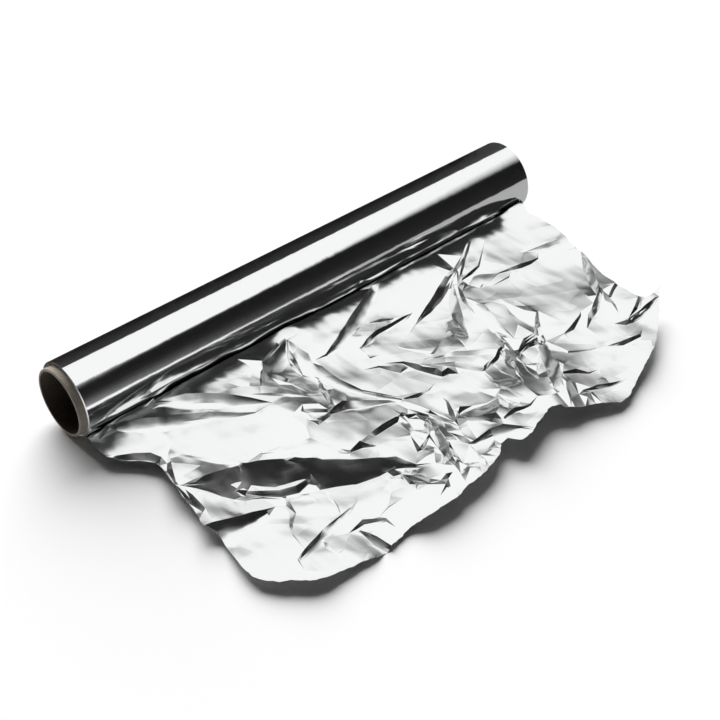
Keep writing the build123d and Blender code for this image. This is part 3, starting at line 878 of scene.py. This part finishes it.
class FOILROLL_OT_stage(bpy.types.Operator):
    """Sets up the table, the light and the camera"""

    bl_idname = "foilroll.stage"
    bl_label = "Stage"

    def execute(self, context):
        sizes, colours = context.scene.foil_roll_sizes, context.scene.foil_roll_colours
        scene = context.scene
        scene.view_settings.view_transform = "Standard"
        table = -sizes.wound_radius
        self.table_top(colours, table)
        self.walls(colours, table)
        self.cards(colours, table)
        self.world(scene)
        self.light(scene)
        self.camera(scene)
        return {"FINISHED"}

    def table_top(self, colours, table):
        """A flat pale table top, lit to white."""
        corners = [(TABLE_HALF * x, TABLE_HALF * y, table) for x, y in ((-1, -1), (1, -1), (1, 1), (-1, 1))]
        laminate = stage_material("matt_white_laminate", colours.floor)
        stage_piece("table_top", corners, [(0, 1, 2, 3)], laminate)

    def walls(self, colours, table):
        """Dark studio walls: part of a sphere, from the table up to a rim low behind and high in front.

        They are thick cloth up to a second slanted line, and thin out from there to the rim as the square
        of the share of the way. On the camera's right the rim has a notch, and the thick cloth reaches
        higher, for the roll's black band. Elsewhere a hem by the table is thin too, most in front, so that
        not every steep fold goes black."""
        material, tree = new_material("black_felt_flags")
        place = add_node(tree, "ShaderNodeUVMap")
        share = add_node(tree, "ShaderNodeSeparateXYZ", inputs={"Vector": place.outputs["UV"]})
        cloth = add_node(tree, "ShaderNodeBsdfDiffuse", inputs={"Color": (*colours.surround, 1)})
        air = add_node(tree, "ShaderNodeBsdfTransparent")
        surface = add_node(tree, "ShaderNodeMixShader", inputs={
            0: share.outputs["Y"], 1: cloth.outputs["BSDF"], 2: air.outputs["BSDF"]})
        add_node(tree, "ShaderNodeOutputMaterial", inputs={"Surface": surface.outputs["Shader"]})
        turn, way = np.meshgrid(np.linspace(0, 2 * np.pi, WALL_STEPS + 1), np.linspace(0, 1, WALL_RINGS + 1))
        swing = np.cos(turn - WALL_BACK)
        notch = np.exp(-((turn - NOTCH_AT) / NOTCH_WIDTH) ** 2)
        rim, thick = (np.radians(mean + by_swing * swing + by_notch * notch)
                      for mean, by_swing, by_notch in (WALL_RIM, WALL_THICK))
        rise = way * rim
        thinned = np.clip((rise - thick) / (rim - thick), 0, 1) ** 2
        hem = HEM_SHARE[0] + HEM_SHARE[1] * swing
        hem = hem * np.clip(1 - rise / HEM_TOP, 0, 1) ** 2 * (1 - notch) ** 2
        out, up = WALL_RADIUS * np.cos(rise), WALL_RADIUS * np.sin(rise)
        points = np.stack((out * np.cos(turn), out * np.sin(turn), table + up), axis=-1)
        faces = grid_faces(WALL_RINGS, WALL_STEPS)
        mesh = stage_piece("studio_walls", points.reshape(-1, 3).tolist(), faces.tolist(), material,
                           ("camera", "shadow"))
        shares = np.stack((turn / (2 * np.pi), np.maximum(thinned, hem)), axis=-1).reshape(-1, 2)
        corner_shares = shares[faces.ravel()].astype(np.float32)
        mesh.uv_layers.new(name="UVMap").data.foreach_set("uv", corner_shares.ravel())

    def cards(self, colours, table):
        """Two cards that only reflections show: one stands behind the roll, one lies by its right end."""
        (left, right), behind = STANDING_CARD_X, STANDING_CARD_Y
        low, high = (table + each for each in STANDING_CARD_HIGH)
        standing = [(left, behind, table), (right, behind, table), (right, behind, high), (left, behind, low)]
        (left, right), (front, back), lift = LYING_CARD_X, LYING_CARD_Y, table + LYING_CARD_LIFT
        lying = [(left, front, lift), (right, front, lift), (right, back, lift), (left, back, lift)]
        for name, corners, colour in (("black_card", standing, colours.standing_card),
                                      ("grey_card", lying, colours.lying_card)):
            stage_piece(name, corners, [(0, 1, 2, 3)], stage_material(name, colour),
                        ("camera", "shadow", "diffuse"))

    def world(self, scene):
        """A white ceiling of strength 1 to the eye and in reflections, and a weaker fill for the rest."""
        scene.world = bpy.data.worlds.new("white_ceiling")
        scene.world.use_nodes = True
        tree = scene.world.node_tree
        tree.nodes.clear()
        path = add_node(tree, "ShaderNodeLightPath")
        seen = add_node(tree, "ShaderNodeMath", {"operation": "MAXIMUM"},
                        {0: path.outputs["Is Camera Ray"], 1: path.outputs["Is Glossy Ray"]})
        seen = add_node(tree, "ShaderNodeMath", {"operation": "MAXIMUM"},
                        {0: seen.outputs[0], 1: path.outputs["Is Transmission Ray"]})
        strength = add_node(tree, "ShaderNodeMapRange", inputs={
            "Value": seen.outputs[0], "To Min": FILL, "To Max": 1.0})
        sky = add_node(tree, "ShaderNodeBackground", inputs={
            "Color": (1, 1, 1, 1), "Strength": strength.outputs["Result"]})
        add_node(tree, "ShaderNodeOutputWorld", inputs={"Surface": sky.outputs["Background"]})

    def light(self, scene):
        """One broad lamp behind the roll, 35 degrees up, so that soft shadows fall towards the camera."""
        lamp = bpy.data.lights.new("overhead_softbox", "SUN")
        lamp.energy = math.pi * LAMP_STRENGTH
        lamp.angle = LAMP_WIDTH
        piece = bpy.data.objects.new("overhead_softbox", lamp)
        piece.rotation_euler = Vector(LAMP_FROM).to_track_quat("Z", "Y").to_euler()
        piece.visible_glossy = False
        scene.collection.objects.link(piece)

    def camera(self, scene):
        """The photograph's viewpoint and focal length."""
        eye, right, up, forward = camera_axes()
        lens = bpy.data.cameras.new("photo_camera")
        lens.sensor_width = SENSOR_MM
        lens.lens = FOCAL_PIXELS / PHOTO_SIDE * SENSOR_MM
        lens.clip_start = 0.01
        piece = bpy.data.objects.new("photo_camera", lens)
        place = Matrix((right, up, -forward)).transposed().to_4x4()
        place.translation = Vector(eye)
        piece.matrix_world = place
        scene.collection.objects.link(piece)
        scene.camera = piece


class FOILROLL_PT_sidebar(bpy.types.Panel):
    """Lists the roll's sizes, colours and build steps"""

    bl_label = "Foil roll"
    bl_space_type = "VIEW_3D"
    bl_region_type = "UI"
    bl_category = "Foil roll"

    def draw(self, context):
        for group in (context.scene.foil_roll_sizes, context.scene.foil_roll_colours):
            for name in group.__annotations__:
                self.layout.prop(group, name)
        for operator in OPERATORS:
            self.layout.operator(operator.bl_idname)


OPERATORS = (FOILROLL_OT_loose_foil, FOILROLL_OT_wound_foil, FOILROLL_OT_core, FOILROLL_OT_stage)
CLASSES = (FoilRollSizes, FoilRollColours, *OPERATORS, FOILROLL_PT_sidebar)


def register():
    for each in CLASSES:
        bpy.utils.register_class(each)
    bpy.types.Scene.foil_roll_sizes = bpy.props.PointerProperty(type=FoilRollSizes)
    bpy.types.Scene.foil_roll_colours = bpy.props.PointerProperty(type=FoilRollColours)


def unregister():
    del bpy.types.Scene.foil_roll_colours
    del bpy.types.Scene.foil_roll_sizes
    for each in reversed(CLASSES):
        bpy.utils.unregister_class(each)


def main():
    register()
    for name in ("loose_foil", "wound_foil", "core", "stage"):
        getattr(bpy.ops.foilroll, name)()


if __name__ == "__main__":
    main()
